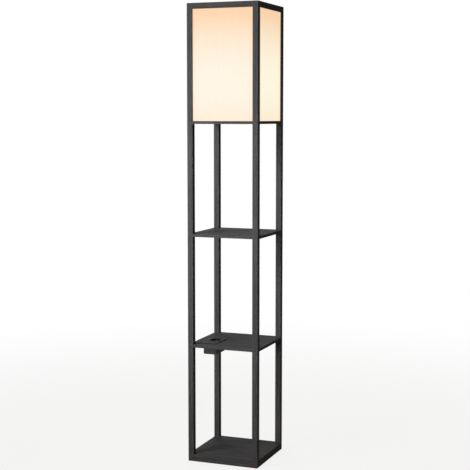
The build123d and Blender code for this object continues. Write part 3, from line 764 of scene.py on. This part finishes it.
metals = {
    "zinc": {
        "tone": colour(0.560, 0.570, 0.590),
        "dull": colour(0.360, 0.370, 0.390),
        "roughness": (0.28, 0.45),
    },
    "black": {
        "tone": colour(0.040, 0.040, 0.042),
        "dull": colour(0.070, 0.068, 0.066),
        "roughness": (0.38, 0.55),
    },
    "blacked": {
        "tone": colour(0.020, 0.020, 0.021),
        "dull": colour(0.032, 0.031, 0.030),
        "roughness": (0.62, 0.78),
    },
    "brass": {
        "tone": colour(0.720, 0.520, 0.220),
        "dull": colour(0.480, 0.330, 0.140),
        "roughness": (0.25, 0.42),
    },
    "aluminium": {
        "tone": colour(0.780, 0.785, 0.790),
        "dull": colour(0.580, 0.585, 0.590),
        "roughness": (0.30, 0.44),
    },
    "solder": {
        "tone": colour(0.600, 0.600, 0.590),
        "dull": colour(0.420, 0.420, 0.410),
        "roughness": (0.30, 0.50),
    },
    "contact": {
        "tone": colour(0.640, 0.630, 0.600),
        "dull": colour(0.450, 0.440, 0.410),
        "roughness": (0.22, 0.38),
    },
    "nickel": {
        "tone": colour(0.100, 0.098, 0.094),
        "dull": colour(0.060, 0.058, 0.055),
        "roughness": (0.50, 0.68),
    },
}
metalMarks = {"size": 0.0003, "bump": 0.12, "bumpDepth": 0.00005}


def metalMaterial(name, look):
    material, tree, shader = newMaterial(name, {"Base Color": look["tone"], "Metallic": 1.0})
    place = surface(tree)[0]
    finish = useGroup(tree, metalFinish, {"Position": place, "Mark": metalMarks["size"]})
    put(tree, shader["Base Color"], blend(tree, finish["Blotches"], look["tone"], look["dull"]))
    put(tree, shader["Roughness"], ramp(tree, finish["Blotches"], 0.0, 1.0, *look["roughness"]))
    bump(tree, shader, finish["Lines"], metalMarks["bump"], metalMarks["bumpDepth"])
    return material


# Bulb, foam, beech and circuit boards

lampBulb = {
    "opal": colour(0.80, 0.78, 0.72),
    "glow": colour(1.00, 0.86, 0.66),
    "rim": colour(1.00, 0.74, 0.46),
    "light": 7.0,
    "cloudScale": 90.0,
    "cloudRange": (0.3, 0.7),
    "roughness": (0.30, 0.42),
}


def opalMaterial():
    plain = {"Base Color": lampBulb["opal"], "Emission Strength": lampBulb["light"]}
    material, tree, shader = newMaterial("bulb_opal", plain)
    place = surface(tree)[0]
    low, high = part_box("bulb_dome")
    rise = ramp(tree, split(tree, place)[2], low.z, high.z)
    cloud = mottle(tree, place, lampBulb["cloudScale"])
    put(tree, shader["Emission Color"], blend(tree, rise, lampBulb["rim"], lampBulb["glow"]))
    put(tree, shader["Roughness"], ramp(tree, cloud, *lampBulb["cloudRange"], *lampBulb["roughness"]))
    return material


foam = {
    "mean": colour(0.02, 0.02, 0.02),
    "cell": colour(0.010, 0.010, 0.010),
    "wall": colour(0.035, 0.034, 0.033),
    "scale": 1300.0,
    "range": (0.1, 0.6),
    "roughness": 0.95,
    "bump": 0.6,
    "bumpDepth": 0.0003,
}


def foamMaterial():
    plain = {"Base Color": foam["mean"], "Roughness": foam["roughness"]}
    material, tree, shader = newMaterial("pad_foam", plain)
    place = surface(tree)[0]
    cells = tree.nodes.new("ShaderNodeTexVoronoi")
    cells.inputs["Scale"].default_value = foam["scale"]
    tree.links.new(place, cells.inputs["Vector"])
    distance = cells.outputs["Distance"]
    walls = ramp(tree, distance, *foam["range"])
    put(tree, shader["Base Color"], blend(tree, walls, foam["cell"], foam["wall"]))
    bump(tree, shader, distance, foam["bump"], foam["bumpDepth"])
    return material


beech = {
    "mean": colour(0.50, 0.33, 0.19),
    "pale": colour(0.58, 0.40, 0.24),
    "deep": colour(0.40, 0.25, 0.14),
    "fibre": colour(0.85, 0.82, 0.78),
    "pore": colour(0.25, 0.14, 0.07),
    "sizes": {"Streak": 0.0016, "Fibre": 0.0005, "Pore": 0.0004},
    "roughness": 0.7,
    "bump": 0.3,
    "bumpDepth": 0.0001,
}


def beechMaterial():
    plain = {"Base Color": beech["mean"], "Roughness": beech["roughness"]}
    material, tree, shader = newMaterial("dowel_beech", plain)
    place = surface(tree)[0]
    grain = useGroup(tree, foilGrain, {"Position": place, **beech["sizes"]})
    tone = blend(tree, grain["Streaks"], beech["pale"], beech["deep"])
    tone = blend(tree, grain["Fibres"], tone, beech["fibre"], "MULTIPLY")
    put(tree, shader["Base Color"], blend(tree, grain["Pores"], tone, beech["pore"]))
    bump(tree, shader, grain["Height"], beech["bump"], beech["bumpDepth"])
    return material


circuits = {
    "led_board": {"mask": colour(0.72, 0.72, 0.70), "copper": colour(0.60, 0.48, 0.26)},
    "circuit_board": {"mask": colour(0.015, 0.075, 0.030), "copper": colour(0.10, 0.20, 0.06)},
}
tracks = {
    "scale": 260.0,
    "gap": 0.05,
    "blurScale": 500.0,
    "blurShare": 0.6,
    "blurRange": (0.3, 0.7),
    "roughness": (0.28, 0.45),
}


def circuitMaterial(name):
    mask, copper = circuits[name]["mask"], circuits[name]["copper"]
    material, tree, shader = newMaterial(name, {"Base Color": mask})
    place = surface(tree)[0]
    bricks = tree.nodes.new("ShaderNodeTexBrick")
    bricks.inputs["Scale"].default_value = tracks["scale"]
    bricks.inputs["Mortar Size"].default_value = tracks["gap"]
    bricks.inputs["Color1"].default_value = mask
    bricks.inputs["Color2"].default_value = copper
    bricks.inputs["Mortar"].default_value = mask
    tree.links.new(place, bricks.inputs["Vector"])
    blur = mottle(tree, place, tracks["blurScale"])
    covered = calc(tree, "MULTIPLY", blur, tracks["blurShare"])
    put(tree, shader["Base Color"], blend(tree, covered, bricks.outputs["Color"], mask))
    put(tree, shader["Roughness"], ramp(tree, blur, *tracks["blurRange"], *tracks["roughness"]))
    return material


def dressSmallPieces():
    finishes = {
        "module_plastic": (plasticMaterial, plastics["module"], ["faceplate"]),
        "housing_plastic": (plasticMaterial, plastics["housing"], ["module_housing"]),
        "socket_plastic": (plasticMaterial, plastics["socket"], ["socket_cup"]),
        "usb_plastic": (plasticMaterial, plastics["usb"], ["usb_tongues"]),
        "holder_plastic": (plasticMaterial, plastics["holder"], ["holder_base", "holder_sleeve"]),
        "holder_core": (plasticMaterial, plastics["core"], ["holder_core"]),
        "bulb_white": (plasticMaterial, plastics["bulbBody"], ["bulb_body"]),
        "bulb_glass": (plasticMaterial, plastics["glass"], ["bulb_insulator"]),
        "component_plastic": (plasticMaterial, plastics["component"], ["charger_components"]),
        "gland_rubber": (plasticMaterial, plastics["rubber"], ["cable_gland"]),
        "zinc_steel": (
            metalMaterial,
            metals["zinc"],
            ["connecting_studs", "post_inserts", "holder_nipple", "nipple_nuts"],
        ),
        "black_steel": (metalMaterial, metals["black"], ["base_bolts"]),
        "brass": (metalMaterial, metals["brass"], ["holder_thread_shell", "holder_terminals"]),
        "dark_nickel": (metalMaterial, metals["nickel"], ["earth_bridge", "usb_shells"]),
        "bulb_aluminium": (metalMaterial, metals["aluminium"], ["bulb_cap"]),
        "bulb_solder": (metalMaterial, metals["solder"], ["bulb_contact"]),
        "contact_steel": (metalMaterial, metals["contact"], ["holder_contact_spring", "pin_contacts"]),
        "blacked_screws": (metalMaterial, metals["blacked"], ["module_screws"]),
    }
    for finish, (make, look, names) in finishes.items():
        material = make(finish, look)
        for name in names:
            dress(name, material)
    dress("bulb_dome", opalMaterial())
    dress("foot_pads", foamMaterial())
    dress("rail_dowels", beechMaterial())
    dress("led_board", circuitMaterial("led_board"))
    dress("charger_board", circuitMaterial("circuit_board"))
    print("small pieces dressed")


dressSmallPieces()


# Studio

softboxes = {
    "key": {
        "place": (-1.25, -1.95, 2.25),
        "aim": (0, 0, 1.20),
        "size": 1.1,
        "spread": 70,
        "power": 9.3,
        "tint": (0.995, 0.995, 1.0),
    },
    "low": {
        "place": (-1.0, -2.9, 1.0),
        "aim": (0, 0, 0.78),
        "size": 0.9,
        "spread": 40,
        "power": 3.2,
        "tint": (1.0, 0.97, 0.95),
    },
    "rear": {
        "place": (-1.5, 2.6, 2.3),
        "aim": (0, 0, 0.9),
        "size": 1.6,
        "spread": 120,
        "power": 18,
        "tint": (1, 1, 1),
    },
    "side": {
        "place": (3.2, 0.4, 1.6),
        "aim": (0, 0, 0.8),
        "size": 1.5,
        "spread": 120,
        "power": 2.0,
        "tint": (1, 1, 1),
    },
    "top": {
        "place": (-0.4, -0.2, 3.4),
        "aim": (0, 0, 0),
        "size": 1.8,
        "spread": 120,
        "power": 7,
        "tint": (1, 1, 1),
    },
}
studio = {
    "white": colour(1, 1, 1),
    "ambient": 0.05,
    "backdrop": 1.0,
    "floorSize": 30.0,
    "floorDrop": 0.0002,
    "floorTone": colour(0.54, 0.49, 0.42),
    "floorRoughness": 0.8,
    "floorGloss": 0.1,
    "floorLift": 0.86,  # share of plain white the camera sees near the lamp
    "fadeStart": 0.6,
    "fadeEnd": 3.0,
}


def addSoftbox(name, look):
    light = bpy.data.lights.new(name, "AREA")
    light.shape = "SQUARE"
    light.size = look["size"]
    light.spread = math.radians(look["spread"])
    light.energy = look["power"]
    light.color = look["tint"]
    softbox = bpy.data.objects.new(name, light)
    softbox.location = look["place"]
    aim = Vector(look["aim"]) - Vector(look["place"])
    softbox.rotation_euler = aim.to_track_quat("-Z", "Y").to_euler()
    scene.collection.objects.link(softbox)


def seenDirectly(tree):
    path = tree.nodes.new("ShaderNodeLightPath").outputs
    direct = calc(tree, "MAXIMUM", path["Is Camera Ray"], path["Is Glossy Ray"])
    return calc(tree, "MAXIMUM", direct, path["Is Transmission Ray"])


def background(tree, strength):
    node = tree.nodes.new("ShaderNodeBackground")
    node.inputs["Color"].default_value = studio["white"]
    node.inputs["Strength"].default_value = strength
    return node.outputs[0]


def makeWorld():
    world = bpy.data.worlds.new("studioWorld")
    scene.world = world
    world.use_nodes = True
    tree = world.node_tree
    tree.nodes.clear()
    mixed = tree.nodes.new("ShaderNodeMixShader")
    put(tree, mixed.inputs[0], seenDirectly(tree))
    put(tree, mixed.inputs[1], background(tree, studio["ambient"]))
    put(tree, mixed.inputs[2], background(tree, studio["backdrop"]))
    output = tree.nodes.new("ShaderNodeOutputWorld")
    tree.links.new(mixed.outputs[0], output.inputs["Surface"])


def makeFloor():
    reach = studio["floorSize"] / 2
    mesh = bpy.data.meshes.new("floor")
    corners = [(-reach, -reach, 0), (reach, -reach, 0), (reach, reach, 0), (-reach, reach, 0)]
    mesh.from_pydata(corners, [], [(0, 1, 2, 3)])
    floor = bpy.data.objects.new("floor", mesh)
    floor.location.z = cadLow.z - studio["floorDrop"]
    scene.collection.objects.link(floor)
    material, tree, shader = newMaterial("floor_paint", {
        "Base Color": studio["floorTone"],
        "Roughness": studio["floorRoughness"],
        "Specular IOR Level": studio["floorGloss"],
    })
    distance = vectorCalc(tree, "LENGTH", surface(tree)[0])
    share = ramp(tree, distance, studio["fadeStart"], studio["fadeEnd"], studio["floorLift"], 1.0)
    white = tree.nodes.new("ShaderNodeEmission")
    mixed = tree.nodes.new("ShaderNodeMixShader")
    put(tree, mixed.inputs[0], calc(tree, "MULTIPLY", share, seenDirectly(tree)))
    put(tree, mixed.inputs[1], tree.nodes["Principled BSDF"].outputs[0])
    put(tree, mixed.inputs[2], white.outputs[0])
    tree.links.new(mixed.outputs[0], tree.nodes["Material Output"].inputs["Surface"])
    floor.data.materials.append(material)


for boxName, boxLook in softboxes.items():
    addSoftbox(boxName, boxLook)
makeWorld()
makeFloor()
print("studio lit")
